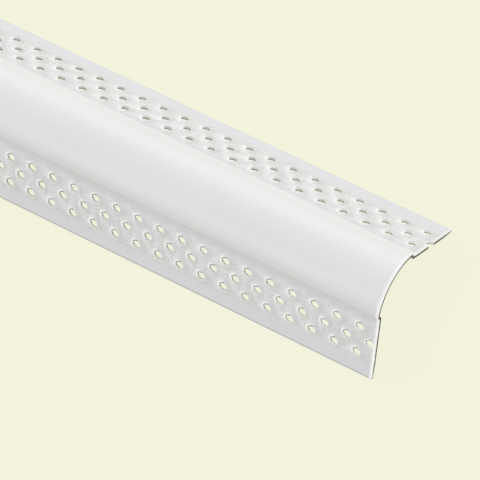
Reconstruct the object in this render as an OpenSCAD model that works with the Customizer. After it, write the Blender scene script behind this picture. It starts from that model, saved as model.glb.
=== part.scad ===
// Rounded drywall corner bead: one extruded strip of white PVC, with a round nose and two perforated legs.
// It lies as it rests on a floor, nose up, on the outer edges of its legs, with its length along X.
// The section is drawn with the nose's centre at [0, 0], one leg to the right and the nose at the top.

/* [Stock] */
// Length of the strip
length = 2438.4; // [600:0.1:3660]
// Thickness of the nose and of the legs' perforated band
wall = 1.2; // [0.8:0.1:1.6]

/* [Nose] */
// Outer radius of the rounded nose
nose_r = 19.05; // [12:0.05:40]
// Angle that the nose turns through
nose_arc = 90; // [70:1:110]
// Height of the nose above the legs' outer faces, to be filled with joint compound
nose_step = 2; // [1:0.1:3]
// Radius of the outer face in the two bends of that step
bend_r = 1.8; // [1.7:0.1:3]

/* [Legs] */
// Width of a leg, from the nose's edge to the leg's outer edge
leg_w = 32.5; // [30.5:0.05:60]
// Angle that each leg is sprung inward past the end of the nose
leg_spring = 6.2; // [0:0.1:12]
// Width of the bare strip along the leg's outer edge
strip_w = 6.35; // [3:0.05:7.5]
// Thickness of that strip at the leg's outer edge
edge_wall = 0.6; // [0.3:0.1:0.8]

/* [Holes] */
// Diameter of a hole
hole_d = 3.4; // [2:0.1:4]
// Distance between holes along a row
hole_pitch = 10.16; // [8:0.01:20]
// Number of staggered rows on each leg
hole_rows = 3; // [1:1:3]
// Distance from the nose's edge to the first row
row_first = 9.75; // [7:0.05:11]
// Distance between rows
row_gap = 6.35; // [4.5:0.05:7]
// Distance from the cut end to the first hole of the middle row, on the left leg
left_phase = 2.7; // [0:0.1:8]
// The same distance on the right leg, where the cut passes through the hole
right_phase = 0.2; // [0:0.1:8]

/* [Hidden] */
$fn = 72;

half_arc = nose_arc / 2;
leg_turn = half_arc + leg_spring;

// The step's first bend turns down by this angle, and the second turns back to the leg's sprung angle.
step_turn = acos((1 + cos(leg_spring) - nose_step / bend_r) / 2);
// How far the two bends reach past the nose's edge
step_reach = bend_r * (2 * sin(step_turn) - sin(leg_spring));

// Unit vectors of a face that has turned by an angle from level: out of the face, and on along it
function out(turn) = [sin(turn), cos(turn)];
function on(turn) = [cos(turn), -sin(turn)];

// Centres of the step's two bends, and the place where the leg's flat outer face starts
bend_centre = (nose_r - bend_r) * out(half_arc);
cove_centre = bend_centre + 2 * bend_r * out(half_arc + step_turn);
flat_start = cove_centre - bend_r * out(leg_turn);

flat_w = leg_w - step_reach;
band_w = flat_w - strip_w;
edge_corner = flat_start + flat_w * on(leg_turn) - edge_wall * out(leg_turn);

// Points on a round stretch of the section, from one turn to another
arc_step = 3;
function arc(centre, r, from, to) =
    let (steps = ceil(abs(to - from) / arc_step))
    [for (i = [0 : steps]) centre + r * out(from + (to - from) * i / steps)];

// Outer face of the right half from the top of the nose to the leg's edge, at a depth into the wall
function face(depth) = concat(
    arc([0, 0], nose_r - depth, 0, half_arc),
    arc(bend_centre, bend_r - depth, half_arc, half_arc + step_turn),
    arc(cove_centre, -bend_r - depth, half_arc + step_turn, leg_turn));

// Right half of the outline: from the top of the nose down the outer face, round the edge and back up inside
right_half = concat(
    face(0),
    [flat_start + flat_w * on(leg_turn),
     edge_corner,
     flat_start + band_w * on(leg_turn) - wall * out(leg_turn)],
    reversed(face(wall)));
function reversed(points) = [for (i = [len(points) - 1 : -1 : 0]) points[i]];

// The other half, back to the top, without the two points on the middle line
left_half = [for (p = reversed(right_half)) if (p.x > 0) [-p.x, p.y]];

module section() {
    polygon(concat(right_half, left_half));
}

// The staggered rows of holes in a leg: x runs along the strip from the cut end, y across the leg's flat.
module leg_holes(phase) {
    columns = ceil(length / hole_pitch) + 1;
    for (row = [0 : hole_rows - 1], column = [-1 : columns]) {
        along = phase + (column + (row % 2 == 0 ? 0.5 : 0)) * hole_pitch;
        if (along > -hole_d / 2 && along < length + hole_d / 2)
            translate([along, row_first - step_reach + row * row_gap]) circle(d = hole_d);
    }
}

// Punches for the right leg, through the wall and clear of it on both sides.
module punches(phase) {
    translate([length / 2, flat_start.x, flat_start.y]) rotate([-leg_turn, 0, 0]) mirror([1, 0, 0])
        translate([0, 0, -2 * wall]) linear_extrude(3 * wall) leg_holes(phase);
}

module corner_bead() color("white") translate([0, 0, -edge_corner.y]) difference() {
    translate([-length / 2, 0, 0]) rotate([90, 0, 90]) linear_extrude(length) section();
    punches(right_phase);
    mirror([0, 1, 0]) punches(left_phase);
}

corner_bead();
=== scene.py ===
# %% [markdown]
# # A rounded drywall corner bead
#
# Two sheets of drywall that meet at an outside corner leave a raw, weak edge. A corner bead covers it: a
# long strip of white vinyl with a quarter-round nose in the middle and a flat leg on each side. The legs
# are full of small holes, so that the joint compound can grip them, and the nose stands a little proud, as
# a guide for the filling knife. The strip leaves its die as one piece, so this scene has one piece too.
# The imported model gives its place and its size.

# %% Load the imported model
import math

import bpy
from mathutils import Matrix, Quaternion, Vector


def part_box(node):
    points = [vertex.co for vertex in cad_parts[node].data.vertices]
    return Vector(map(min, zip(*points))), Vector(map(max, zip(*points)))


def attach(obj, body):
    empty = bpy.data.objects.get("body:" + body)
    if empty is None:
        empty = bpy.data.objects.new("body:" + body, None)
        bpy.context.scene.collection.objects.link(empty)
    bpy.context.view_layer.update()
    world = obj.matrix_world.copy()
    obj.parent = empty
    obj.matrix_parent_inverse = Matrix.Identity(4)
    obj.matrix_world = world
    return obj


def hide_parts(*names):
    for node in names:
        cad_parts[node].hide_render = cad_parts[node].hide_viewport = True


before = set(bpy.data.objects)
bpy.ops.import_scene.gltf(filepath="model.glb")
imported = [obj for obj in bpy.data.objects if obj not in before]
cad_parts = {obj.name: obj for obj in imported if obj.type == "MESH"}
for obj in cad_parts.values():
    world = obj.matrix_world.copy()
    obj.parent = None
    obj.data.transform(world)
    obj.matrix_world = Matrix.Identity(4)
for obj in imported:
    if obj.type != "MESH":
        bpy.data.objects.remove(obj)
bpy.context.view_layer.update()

scene = bpy.context.scene

# %% [markdown]
# ## The section
#
# Everything about an extruded strip is in its section, the outline of the die. It could be traced by hand
# as a curve, but it is a chain of arcs and straight runs, so a few functions can work it out from the
# sizes that a maker would write on a drawing. `out` and `on` are the two directions that matter on a face
# which has turned down from level: straight out of it, and on along it. All lengths are in metres, as
# everywhere in Blender.

# %% Sizes of the section
MM = 0.001
low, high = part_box("corner_bead")
length = high[0] - low[0]
nose_r = 19.05 * MM
nose_z = high[2] - nose_r
wall = 1.2 * MM
half_arc = math.radians(45)
nose_step = 2.0 * MM
bend_r = 1.8 * MM
leg_w = 32.5 * MM
leg_spring = math.radians(6.2)
strip_w = 6.35 * MM
edge_wall = 0.6 * MM
leg_turn = half_arc + leg_spring
print(f"strip {length:.4f} m long, nose centre {nose_z / MM:.2f} mm up")


# %% Where the bends and the flat legs lie
def out(turn):
    return Vector((math.sin(turn), math.cos(turn)))


def on(turn):
    return Vector((math.cos(turn), -math.sin(turn)))


step_turn = math.acos((1 + math.cos(leg_spring) - nose_step / bend_r) / 2)
step_reach = bend_r * (2 * math.sin(step_turn) - math.sin(leg_spring))
nose_centre = Vector((0, nose_z))
bend_centre = nose_centre + (nose_r - bend_r) * out(half_arc)
cove_centre = bend_centre + 2 * bend_r * out(half_arc + step_turn)
flat_start = cove_centre - bend_r * out(leg_turn)
leg_start = flat_start - step_reach * on(leg_turn)
print(f"flats start {step_reach / MM:.2f} mm from the nose")

# %% [markdown]
# The outline runs down the outer face from the top of the nose, round the thin outer edge and back up
# inside. Smooth shading blends the directions of neighbouring faces, and on a big flat face that blend
# would show as a false dent. So one spare point sits just past each bend, and the blend ends there. The
# other half is the same outline mirrored.

# %% Outline of the section
nose_facet = math.radians(2.5)
bend_facet = math.radians(8)
guard = 0.4 * MM


def arc(centre, radius, start, end, facet):
    count = math.ceil(abs(end - start) / facet)
    return [centre + radius * out(start + (end - start) * i / count) for i in range(count + 1)]


def face(depth):
    """The right half's outer face at a depth into the wall, from the top of the nose to the flat leg."""
    nose = arc(nose_centre, nose_r - depth, 0, half_arc, nose_facet)
    bend = arc(bend_centre, bend_r - depth, half_arc, half_arc + step_turn, bend_facet)
    cove = arc(cove_centre, -bend_r - depth, half_arc + step_turn, leg_turn, bend_facet)
    return nose + bend[1:] + cove[1:] + [flat_start + guard * on(leg_turn) - depth * out(leg_turn)]


flat_w = leg_w - step_reach
leg_edge = [
    flat_start + flat_w * on(leg_turn),
    flat_start + flat_w * on(leg_turn) - edge_wall * out(leg_turn),
    flat_start + (flat_w - strip_w) * on(leg_turn) - wall * out(leg_turn),
]
right_half = face(0) + leg_edge + face(wall)[::-1]
left_half = [Vector((-p.x, p.y)) for p in right_half[::-1] if p.x > 0]
outline = [(p.x, p.y, 0) for p in right_half + left_half][::-1]
section_mesh = bpy.data.meshes.new("bead_section")
section_mesh.from_pydata(outline, [(i, (i + 1) % len(outline)) for i in range(len(outline))], [])
print("outline of", len(outline), "points")

# %% [markdown]
# ## Wires that do sums
#
# Both Geometry Nodes and shaders are graphs of small nodes, and a sum takes one Math node for each
# operation. This small class wraps a node's output so that ordinary Python arithmetic adds those nodes.
# Every other kind of node comes from its one `node` method: first the node's own settings, then the values
# or wires of its sockets.

# %% A wire between nodes
class Wire:
    def __init__(self, tree, socket):
        self.tree, self.socket = tree, socket

    @staticmethod
    def node(tree, kind, settings=None, sockets=None, output=0):
        made = tree.nodes.new(kind)
        for name, value in (settings or {}).items():
            setattr(made, name, value)
        for name, value in (sockets or {}).items():
            for item in value if isinstance(value, list) else [value]:
                if isinstance(item, Wire):
                    tree.links.new(item.socket, made.inputs[name])
                else:
                    made.inputs[name].default_value = item
        return Wire(tree, made.outputs[output]) if len(made.outputs) else None

    def other(self, output):
        return Wire(self.tree, self.socket.node.outputs[output])

    def math(self, operation, *values):
        sockets = dict(enumerate((self, *values)))
        return Wire.node(self.tree, "ShaderNodeMath", {"operation": operation}, sockets)

    def __add__(self, value):
        return self.math("ADD", value)

    def __sub__(self, value):
        return self.math("SUBTRACT", value)

    def __rsub__(self, value):
        return Wire.node(self.tree, "ShaderNodeMath", {"operation": "SUBTRACT"}, {0: value, 1: self})

    def __mul__(self, value):
        return self.math("MULTIPLY", value)

    def __truediv__(self, value):
        return self.math("DIVIDE", value)

    __radd__ = __add__
    __rmul__ = __mul__

    def fade(self, start, end):
        """0 before start and 1 after end, with a smooth change between them; start may be the larger."""
        return Wire.node(self.tree, "ShaderNodeMapRange", {"interpolation_type": "SMOOTHSTEP"},
                         {"Value": self, "From Min": start, "From Max": end})


print("wires can add, subtract, multiply, divide and fade")

# %% [markdown]
# ## Extruding and punching the strip
#
# On the real line the vinyl is drawn through a die and then runs under a row of punches. The node tree
# does the same. Curve to Mesh draws the outline along a straight line. A grid of points, with every other
# row moved on by half a pitch, says where the punches fall. Holes could be drawn in a material instead,
# but then light wouldn't fall through them.

# %% Sizes of the holes
hole_r = 1.7 * MM
hole_pitch = 10.16 * MM
hole_rows = 3
row_first = 9.75 * MM
row_gap = 6.35 * MM
right_phase = 0.2 * MM
left_phase = 2.7 * MM
lip_run = 1.1 * MM
lip_rise = 0.33 * MM
break_out = 0.55 * MM
columns = 2 * math.ceil(length / hole_pitch / 2) + 3  # odd, so that one falls on the grid's middle
right_shift = (length / 2 - right_phase) % hole_pitch
left_shift = (left_phase - length / 2) % hole_pitch
print(f"{columns} columns of holes, moved by {right_shift / MM:.2f} and {left_shift / MM:.2f} mm")

# %% A node tree with named sizes
punching = bpy.data.node_groups.new("punched_bead", "GeometryNodeTree")
punching.interface.new_socket("Section", in_out="INPUT", socket_type="NodeSocketGeometry")
sizes = {
    "Length": length, "Wall": wall,
    "Hole Radius": hole_r, "Hole Pitch": hole_pitch, "First Row": row_first, "Row Gap": row_gap,
    "Right Shift": right_shift, "Left Shift": left_shift,
    "Lip Run": lip_run, "Lip Rise": lip_rise, "Break Out": break_out,
}
size_ids = {}
for name in sizes:
    socket = punching.interface.new_socket(name, in_out="INPUT", socket_type="NodeSocketFloat")
    size_ids[name] = socket.identifier
finish_in = punching.interface.new_socket("Finish", in_out="INPUT", socket_type="NodeSocketMaterial")
punching.interface.new_socket("Bead", in_out="OUTPUT", socket_type="NodeSocketGeometry")
given = Wire.node(punching, "NodeGroupInput", output="Section")
print("node tree with", len(size_ids), "sizes")


# %% The strip and the places of the punches
def geo(kind, settings=None, sockets=None, output=0):
    return Wire.node(punching, kind, settings, sockets, output)


def vector(x, y, z):
    return geo("ShaderNodeCombineXYZ", None, {"X": x, "Y": y, "Z": z})


def strip():
    """The outline drawn along X, from end to end."""
    half = given.other("Length") * 0.5
    path = geo("GeometryNodeCurvePrimitiveLine", None,
               {"Start": vector(half * -1, 0, 0), "End": vector(half, 0, 0)})
    path = geo("GeometryNodeSetCurveNormal", {"mode": "Z_UP"}, {"Curve": path})
    profile = geo("GeometryNodeMeshToCurve", None, {"Mesh": given})
    drawn = geo("GeometryNodeCurveToMesh", None,
                {"Curve": path, "Profile Curve": profile, "Fill Caps": True})
    return geo("GeometryNodeTransform", None, {"Geometry": drawn, "Rotation": (math.pi, 0, 0)})


def punch_points(shift, reach):
    """Points on a leg laid flat: x along the strip, y across the leg. Those beyond reach are dropped."""
    pitch, gap = given.other("Hole Pitch"), given.other("Row Gap")
    points = geo("GeometryNodeMeshGrid", None,
                 {"Vertices X": columns, "Size X": pitch * (columns - 1),
                  "Vertices Y": hole_rows, "Size Y": gap * (hole_rows - 1)})
    across = geo("ShaderNodeSeparateXYZ", None, {"Vector": geo("GeometryNodeInputPosition")}, "Y")
    stagger = across.math("ABSOLUTE").math("GREATER_THAN", gap * 0.5) * pitch * 0.5
    move = vector(stagger + shift, gap + given.other("First Row"), 0)
    points = geo("GeometryNodeSetPosition", None, {"Geometry": points, "Offset": move})
    along = geo("ShaderNodeSeparateXYZ", None, {"Vector": geo("GeometryNodeInputPosition")}, "X")
    outside = along.math("ABSOLUTE").math("GREATER_THAN", reach)
    return geo("GeometryNodeDeleteGeometry", {"domain": "POINT"},
               {"Geometry": points, "Selection": outside})


def on_both_legs(tool, reach):
    """The tool on every point of both legs, each leg turned down to its place beside the nose."""
    legs = []
    for shift, turn in (("Right Shift", 0), ("Left Shift", math.pi)):
        points = punch_points(given.other(shift), reach)
        tools = geo("GeometryNodeInstanceOnPoints", None, {"Points": points, "Instance": tool})
        tools = geo("GeometryNodeRealizeInstances", None, {"Geometry": tools})
        tools = geo("GeometryNodeTransform", None,
                    {"Geometry": tools, "Rotation": (-leg_turn, 0, 0),
                     "Translation": (0, leg_start.x, leg_start.y)})
        legs.append(geo("GeometryNodeTransform", None, {"Geometry": tools, "Rotation": (0, 0, turn)}))
    return legs


blank_strip = strip()
print("strip drawn, nodes so far", len(punching.nodes))

# %% [markdown]
# Thin vinyl doesn't shear cleanly. It swells into a low lip round the hole, and behind the punch it breaks
# out a little wider. So two cones stand on each point: a flat one for the lip, and a pin that widens
# downwards and cuts the hole. Both are a little longer than the shape they leave, because two faces that
# fall in one plane confuse a Boolean. There are well over a thousand holes, so each cone has
# few sides.

# %% The lip and the pin
cone_sides = 16
clear = 0.3 * MM
sink = 0.1 * MM
lip_spare = 0.1


def cone(foot, depth, foot_r, top_r):
    """An upright cone with its foot at a given height."""
    made = geo("GeometryNodeMeshCone", {"fill_type": "NGON"},
               {"Vertices": cone_sides, "Depth": depth, "Radius Bottom": foot_r, "Radius Top": top_r})
    return geo("GeometryNodeTransform", None, {"Geometry": made, "Translation": vector(0, 0, foot)})


radius, rise, run = given.other("Hole Radius"), given.other("Lip Rise"), given.other("Lip Run")
hole_depth = given.other("Wall") + rise
widening = given.other("Break Out") / hole_depth
pin = cone(given.other("Wall") * -1 - clear, hole_depth + 2 * clear,
           radius + given.other("Break Out") + widening * clear, radius - widening * clear)
lip = cone(-sink, rise * (1 + lip_spare) + sink, radius + run + run / rise * sink, radius - run * lip_spare)
half_length = given.other("Length") * 0.5
lips = on_both_legs(lip, half_length - radius * 2)
pins = on_both_legs(pin, half_length + radius)
print("lips and pins set out, nodes so far", len(punching.nodes))

# %% [markdown]
# One Boolean joins the lips to the strip and another takes the pins away. The nose and the bends are then
# shaded smooth, and every edge that turns by more than the crease angle stays sharp.

# %% Join, cut and shade
crease_angle = math.radians(25)
bead = geo("GeometryNodeMeshBoolean", {"operation": "UNION", "solver": "MANIFOLD"},
           {"Mesh 2": [blank_strip] + lips})
bead = geo("GeometryNodeMeshBoolean", {"operation": "DIFFERENCE", "solver": "MANIFOLD"},
           {"Mesh 1": bead, "Mesh 2": pins})
is_smooth = geo("GeometryNodeInputMeshEdgeAngle").math("LESS_THAN", crease_angle)
bead = geo("GeometryNodeSetShadeSmooth", {"domain": "FACE"}, {"Geometry": bead, "Shade Smooth": True})
bead = geo("GeometryNodeSetShadeSmooth", {"domain": "EDGE"}, {"Geometry": bead, "Shade Smooth": is_smooth})
bead = geo("GeometryNodeRealizeInstances", None, {"Geometry": bead})
bead = geo("GeometryNodeSetMaterial", None, {"Geometry": bead, "Material": given.other("Finish")})
geo("NodeGroupOutput", None, {"Bead": bead})
print("node tree of", len(punching.nodes), "nodes")

# %% [markdown]
# ## White vinyl
#
# Rigid vinyl is a clean, slightly cool white with a soft sheen. The nose leaves the die smooth, the legs
# are duller, and the punched band is uneven, because each punch drags the sheet a little. The patterns are
# worked out from the object's own coordinates: along the strip, across a leg, and down into the wall. That
# needs no unwrapping, and the pattern stays with the holes, since both follow the same sizes.
# Each mask below is a number that is 1 where something shows and 0 elsewhere.

# %% Coordinates on the strip, in millimetres
vinyl = bpy.data.materials.new("white_vinyl")
vinyl.use_nodes = True
paint = vinyl.node_tree
paint.nodes.clear()


def shade(kind, settings=None, sockets=None, output=0):
    return Wire.node(paint, kind, settings, sockets, output)


place = shade("ShaderNodeTexCoord", output="Object")
spot = shade("ShaderNodeVectorMath", {"operation": "SCALE"}, {0: place, "Scale": 1 / MM})
along = shade("ShaderNodeSeparateXYZ", None, {"Vector": spot}, "X")
sideways, height = along.other("Y"), along.other("Z")
is_right = sideways.math("GREATER_THAN", 0)
is_left = 1 - is_right
beside = sideways.math("ABSOLUTE") - leg_start.x / MM
above = height - leg_start.y / MM
across = beside * math.cos(leg_turn) - above * math.sin(leg_turn)
leg_depth = -math.sin(leg_turn) * beside - math.cos(leg_turn) * above
from_axis = height - nose_z / MM
nose_depth = nose_r / MM - (sideways * sideways + from_axis * from_axis).math("SQRT")
on_leg = across.fade(0, step_reach / MM)
depth = leg_depth * on_leg + nose_depth * (1 - on_leg)
print("shader coordinates made with", len(paint.nodes), "nodes")

# %% Ends, band and strip
half_mm, leg_mm, strip_mm = length / 2 / MM, leg_w / MM, (leg_w - strip_w) / MM


def stripe(rising, falling):
    """A stripe along the leg. Each pair says how far across the leg it is 0, and how far it is full."""
    return across.fade(*rising) * across.fade(*falling)


to_end = half_mm - along.math("ABSOLUTE")
# at_end: where painted shade darkens the inside of the cut
at_end = to_end.fade(0.06, 0.02)
# near_end: where a painted highlight lies on the faces beside each cut end
near_end = to_end.fade(1.9, 0.3)
in_band = stripe((4.5, 6.5), (strip_mm + 0.5, strip_mm - 1.5))
on_strip = across.fade(strip_mm - 1.5, strip_mm + 0.5)
# at_edge: where a thin line of painted shade runs along each leg's outer edge
at_edge = across.fade(leg_mm - 0.8, leg_mm - 0.5)
# painted shade in the corners beside the nose, wider and darker on the left leg
left_corner_painted_shade = stripe((-4.0, 2.0), (7.0, 4.5)) * is_left
right_corner_painted_shade = stripe((4.5, 6.0), (8.5, 6.5)) * is_right
# where a painted highlight runs along the right leg's bend beside the nose
right_bend_painted_highlight = stripe((-2.0, 0.0), (5.5, 4.0)) * is_right
print("stripes made, nodes so far", len(paint.nodes))

# %% [markdown]
# For any spot on a leg, rounding gives the nearest row and then the nearest hole in it. What is left over
# is the way from that hole's centre: `hole_x` grows away from the photographed end and `hole_y` towards
# the leg's outer edge. Rings round the hole and the side that a spot lies on both follow from those two.

# %% The nearest hole
hole_mm, pitch_mm, gap_mm = hole_r / MM, hole_pitch / MM, row_gap / MM
phase = is_right * (right_phase / MM) + is_left * (left_phase / MM)
row = (across - row_first / MM) / gap_mm
row_number = row.math("ROUND")
odd_row = row_number.math("ABSOLUTE").math("MODULO", 2)
column = (half_mm - along - phase) / pitch_mm + odd_row * 0.5 + 0.5
hole_x = (column - column.math("ROUND")) * pitch_mm
hole_y = (row - row_number) * gap_mm
from_hole = (hole_x * hole_x + hole_y * hole_y).math("SQRT")
hole_wall = hole_mm + (depth + lip_rise / MM) * (break_out / (wall + lip_rise))
in_hole = (from_hole - hole_wall).fade(0.06, 0.01) * in_band
near_hole = from_hole.fade(4.2, hole_mm)
print("hole pattern made, nodes so far", len(paint.nodes))


# %% Rings and sides of a hole
def ring(none, full):
    """A ring round each hole. Both numbers are distances from the hole's edge."""
    return from_hole.fade(hole_mm + none, hole_mm + full) * in_band


def toward(x, y):
    """About 1 on the side of a hole that lies this way, and about -1 on the other."""
    return (hole_x * x + hole_y * y) / from_hole


on_rim, on_lip, round_lip = ring(0.55, 0.25), ring(1.6, 0.6), ring(2.0, 0.9)
far_way = toward(1, -0.6)
far_side = far_way.fade(0.65, 0.95) * is_left + far_way.fade(0.1, 0.8) * is_right
near_side = toward(-1, 0).fade(0.3, 0.9)
low_side = toward(-0.4, 1).fade(0.4, 0.9)
top_side = toward(0.6, -0.8).fade(0.5, 0.9)
outer_side = toward(0.47, 0.88).fade(0.6, 0.95)
lit_side = ((hole_y - hole_x * 0.7) / hole_mm).fade(-0.15, 0.35)
# painted light and shade on the hole walls: dark deep down, light on the lit side
deep = depth.fade(0.4 + is_right * 0.3, 0.7 + is_right * 0.25)
wall_light = (1 - deep).math("MAXIMUM", lit_side * is_left)
print("rings and sides made, nodes so far", len(paint.nodes))

# %% [markdown]
# The colour is nearly one white. What breaks it up is small: a cooler tone on the legs and the bare strip,
# with the right leg painted lighter and the left darker as painted light and shade, faint clouds, smears
# and specks in the punched band, painted shade in the corners beside the nose and a painted highlight on the
# right bend, a painted highlight on one side of each lip and painted shade on others, painted shade deep in
# the holes and painted light on their lit side, a painted highlight on the ends, and a thin dark line of
# painted shade along the outer edges and inside the cut. Each goes on as one layer over those before it, so
# the list below reads like the steps of a paint job: where, how much, and in what colour.

# %% Uneven patterns
def noise(where, scale, detail, roughness):
    return shade("ShaderNodeTexNoise", None,
                 {"Vector": where, "Scale": scale, "Detail": detail, "Roughness": roughness})


stretched = shade("ShaderNodeVectorMath", {"operation": "MULTIPLY"}, {0: spot, 1: (0.25, 1.0, 1.0)})
clouds = noise(spot, 0.03, 3.0, 0.5)
smears = noise(stretched, 0.45, 2.0, 0.55)
grain = noise(spot, 2.2, 2.0, 0.6)
specks = noise(spot, 0.9, 1.0, 0.5)
print("four noises made, nodes so far", len(paint.nodes))

# %% Colour, layer by layer
nose_white = (0.855, 0.86, 0.86, 1)
# painted light and shade: the right leg's white is a lighter copy and the left leg's a darker copy of one leg
# white
left_painted_shade_white = (0.835, 0.84, 0.858, 1)
right_painted_light_white = (0.85, 0.855, 0.865, 1)
strip_white = (0.835, 0.84, 0.885, 1)
# grey of the smears, also used as painted shade
smear_and_shade_grey = (0.70, 0.715, 0.74, 1)
# whitened vinyl in the smears and specks, also used for painted highlights and painted light
stress_and_painted_light_white = (0.93, 0.935, 0.94, 1)
# painted shade: dark lines and arcs where shade falls
painted_shade_dark = (0.09, 0.085, 0.06, 1)
# painted shade deep in the holes
painted_hole_shade_grey = (0.26, 0.26, 0.24, 1)


def blend(factor, first, second):
    return shade("ShaderNodeMix", {"data_type": "RGBA", "clamp_factor": True},
                 {0: factor, 6: first, 7: second}, 2)


# painted light and shade: the right leg gets the lighter white, the left leg the darker
tone = blend(on_leg, nose_white, blend(is_right, left_painted_shade_white, right_painted_light_white))
layers = [
    (on_strip, 1.0, strip_white),
    (clouds - 0.5, 0.5, smear_and_shade_grey),
    (in_band * smears.fade(0.5, 0.75), 0.5, smear_and_shade_grey),
    (in_band * smears.fade(0.45, 0.25), 0.5, stress_and_painted_light_white),
    (in_band * specks.fade(0.52, 0.7), 0.45, smear_and_shade_grey),
    (in_band * specks.fade(0.48, 0.3), 0.45, stress_and_painted_light_white),
    # painted shade in the corner beside the nose on each leg
    (left_corner_painted_shade, 0.6, smear_and_shade_grey),
    (right_corner_painted_shade, 0.2, smear_and_shade_grey),
    # painted highlight along the right bend
    (right_bend_painted_highlight, 0.7, stress_and_painted_light_white),
    # painted highlight on the far side of each lip, stronger on the left leg
    (on_lip * far_side, 0.9 - is_right * 0.6, stress_and_painted_light_white),
    # painted light on the lower and near sides of the left leg's lips, against their shading
    (on_lip * is_left, (low_side * 0.45).math("MAXIMUM", near_side * 0.5), stress_and_painted_light_white),
    # painted shade on the outer side of each lip on the right leg
    (round_lip * outer_side * is_right, 0.65, smear_and_shade_grey),
    # painted shade: a dark arc inside the top rim of each hole on the left leg
    (on_rim * top_side * is_left, 0.9, painted_shade_dark),
    # painted light and shade on the hole walls
    (in_hole, 1.0, blend(wall_light, painted_hole_shade_grey, stress_and_painted_light_white)),
    # painted highlight on the faces beside the ends
    (near_end, 1.0, stress_and_painted_light_white),
    # painted shade: a thin dark line along the outer edge, stronger on the left leg, and inside the cut end
    ((at_edge * (0.08 + is_left * 0.3)).math("MAXIMUM", at_end * depth.fade(0.15, 0.4)), 1.0, painted_shade_dark),
]
for where, amount, colour in layers:
    tone = blend(where * amount, tone, colour)
print(len(layers), "layers of colour, nodes so far", len(paint.nodes))

# %% [markdown]
# Thin white vinyl lets a little light soak through, but the glow here is painted light: the hole walls on
# their lit side, one side of the lips and the ends glow a little, the ends more on one side of the strip,
# to stand in for light that falls there. Subsurface scattering would give real soaking, but it is slow and
# an exported model loses it. The relief is only a bump, because it is far finer than the lips, which are
# real shapes.

# %% Relief, sheen and the finished vinyl
hole_swell, smear_relief, grain_relief = 0.06, 0.16, 0.012
nose_rough, leg_rough, grain_rough = 0.4, 0.65, 0.08
relief = near_hole * in_band * hole_swell + smears * in_band * smear_relief + grain * grain_relief
bump = shade("ShaderNodeBump", None, {"Height": relief, "Strength": 1.0, "Distance": MM})
rough = nose_rough + on_leg * (leg_rough - nose_rough) + (grain - 0.5) * grain_rough
# painted light: a glow on the lit hole walls, one side of the lips and the ends, more on the left
wall_painted_glow = in_hole * wall_light * 0.2
lip_painted_glow = on_lip * far_side * (1 - in_hole) * (0.03 + is_left * 0.05)
end_painted_glow = near_end * (1 - at_end) * (0.1 - sideways * 0.004)
painted_glow = blend(wall_painted_glow + lip_painted_glow + end_painted_glow, (0, 0, 0, 1), (1, 1, 0.98, 1))
surface = shade("ShaderNodeBsdfPrincipled", None,
                {"Base Color": tone, "Roughness": rough, "IOR": 1.53, "Normal": bump,
                 "Emission Color": painted_glow, "Emission Strength": 1.0})
shade("ShaderNodeOutputMaterial", None, {"Surface": surface})
print("vinyl made with", len(paint.nodes), "nodes")

# %% [markdown]
# ## Making the piece
#
# The section goes in, the punched strip comes out. The result is turned into a plain mesh, because an
# exported model holds no node trees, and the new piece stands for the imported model's own strip, which is
# then hidden.

# %% Punch the strip
blank = bpy.data.objects.new("bead_blank", section_mesh)
scene.collection.objects.link(blank)
punch = blank.modifiers.new("punch", "NODES")
punch.node_group = punching
for name, value in sizes.items():
    punch[size_ids[name]] = value
punch[finish_in.identifier] = vinyl
ready = blank.evaluated_get(bpy.context.evaluated_depsgraph_get())
bead_mesh = bpy.data.meshes.new_from_object(ready)
bead_mesh.name = "vinyl_bead"
bpy.data.objects.remove(blank)
vinyl_bead = bpy.data.objects.new("vinyl_bead", bead_mesh)
scene.collection.objects.link(vinyl_bead)
bead_mesh.calc_loop_triangles()
print("punched strip of", len(bead_mesh.loop_triangles), "triangles and", len(bead_mesh.polygons), "faces")

# %% Hand the piece over to the frame
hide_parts("corner_bead")
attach(vinyl_bead, "root")
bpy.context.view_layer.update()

# %% [markdown]
# ## Floor and light
#
# The photograph's ground is a flat, pale cream with hardly any shadow. A bright floor could be had with
# more light, but that would bleach the white strip. So to the camera the floor partly glows in its own
# colour, and for the rest it is an ordinary matt floor, which keeps the strip's shadow and throws a little
# light back up through the holes.

# %% Floor
cream = (0.913, 0.905, 0.730, 1)
floor_half = 6.0
floor_glow = 0.94
corners = [(x * floor_half, y * floor_half, 0) for x, y in ((-1, -1), (1, -1), (1, 1), (-1, 1))]
floor_mesh = bpy.data.meshes.new("floor")
floor_mesh.from_pydata(corners, [], [(0, 1, 2, 3)])
floor = bpy.data.objects.new("floor", floor_mesh)
scene.collection.objects.link(floor)
cream_paper = bpy.data.materials.new("cream_paper")
cream_paper.use_nodes = True
paper = cream_paper.node_tree
paper.nodes.clear()


def seen(tree, amount):
    """amount for rays straight from the camera, off a gloss or through glass, and 0 for the rest."""
    ray = Wire.node(tree, "ShaderNodeLightPath", output="Is Camera Ray")
    direct = ray.math("MAXIMUM", ray.other("Is Glossy Ray")).math("MAXIMUM", ray.other("Is Transmission Ray"))
    return direct * amount


matt = Wire.node(paper, "ShaderNodeBsdfDiffuse", None, {"Color": cream})
glow = Wire.node(paper, "ShaderNodeEmission", None, {"Color": cream, "Strength": 1.0})
both = Wire.node(paper, "ShaderNodeMixShader", None, {0: seen(paper, floor_glow), 1: matt, 2: glow})
Wire.node(paper, "ShaderNodeOutputMaterial", None, {"Surface": both})
floor_mesh.materials.append(cream_paper)
print("floor", 2 * floor_half, "m across")

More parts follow.
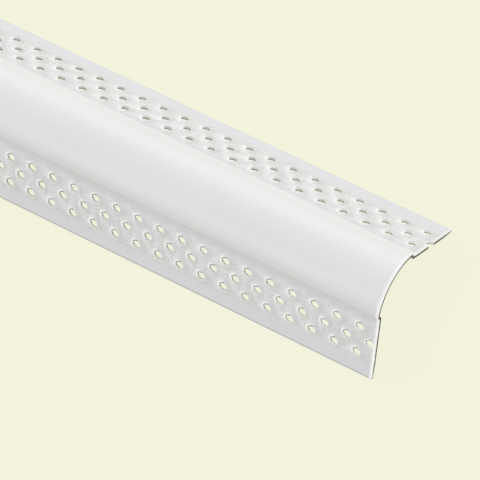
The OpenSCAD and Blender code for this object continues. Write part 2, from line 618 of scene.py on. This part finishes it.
# %% World
studio = bpy.data.worlds.new("studio")
scene.world = studio
studio.use_nodes = True
room = studio.node_tree
room.nodes.clear()
soft_light = Wire.node(room, "ShaderNodeBackground", None, {"Color": (0.98, 0.985, 1.0, 1), "Strength": 0.5})
backdrop = Wire.node(room, "ShaderNodeBackground", None, {"Color": cream, "Strength": 1.0})
both = Wire.node(room, "ShaderNodeMixShader", None, {0: seen(room, 1.0), 1: soft_light, 2: backdrop})
Wire.node(room, "ShaderNodeOutputWorld", None, {"Surface": both})
scene.view_settings.view_transform = "Standard"
print("world", studio.name)

# %% [markdown]
# An area lamp fades with distance, and on a strip this long it would bleach whichever end is near it. A
# sun lamp lights both ends alike, and the wider it looks, the softer its shading. The key lights the nose
# and the leg on its side, the rake grazes along the strip so that the lips stand out, the kicker lifts the
# other leg, and the fill comes from where the camera stands. The rake is left out of reflections, because
# its gloss would burn out in a view along the strip.

# %% Lamps
def lamp(name, source, spread, strength):
    """An even light: the direction that it comes from, how many degrees wide it looks, and its strength."""
    data = bpy.data.lights.new(name, "SUN")
    data.angle, data.energy = math.radians(spread), strength
    made = bpy.data.objects.new(name, data)
    made.location = Vector(source)
    made.rotation_mode = "QUATERNION"
    made.rotation_quaternion = (-Vector(source)).to_track_quat("-Z", "Y")
    scene.collection.objects.link(made)
    return made


key = lamp("key", (-0.61, 1.31, 0.67), 44.4, 0.957)
rake = lamp("rake", (-2.28, -0.12, 0.74), 20, 1.5)
rake.visible_glossy = False
kicker = lamp("kicker", (-0.6, -0.99, 0.96), 18.9, 0.35)
fill = lamp("fill", (0.55, -0.15, 1.35), 9.8, 0.118)
print("lamps", key.name, rake.name, kicker.name, fill.name)

# %% [markdown]
# ## Camera
#
# The photograph looks steeply down on the strip's cut end through a long lens, with the strip running off
# to the upper left. The camera's place, the point that it looks at and its roll come from the photograph's
# edges and rows of holes.

# %% Camera
eye = Vector((1.69146, -0.17994, 1.33028))
aim = Vector((1.15216, -0.00884, 0.02008))
roll = math.radians(-45.22)
view = bpy.data.cameras.new("camera")
view.sensor_width = 36.0
view.lens = 278.9
camera = bpy.data.objects.new("camera", view)
camera.location = eye
camera.rotation_mode = "QUATERNION"
camera.rotation_quaternion = (aim - eye).to_track_quat("-Z", "Y") @ Quaternion((0, 0, 1), roll)
scene.collection.objects.link(camera)
scene.camera = camera
print("camera", round((aim - eye).length, 3), "m away")
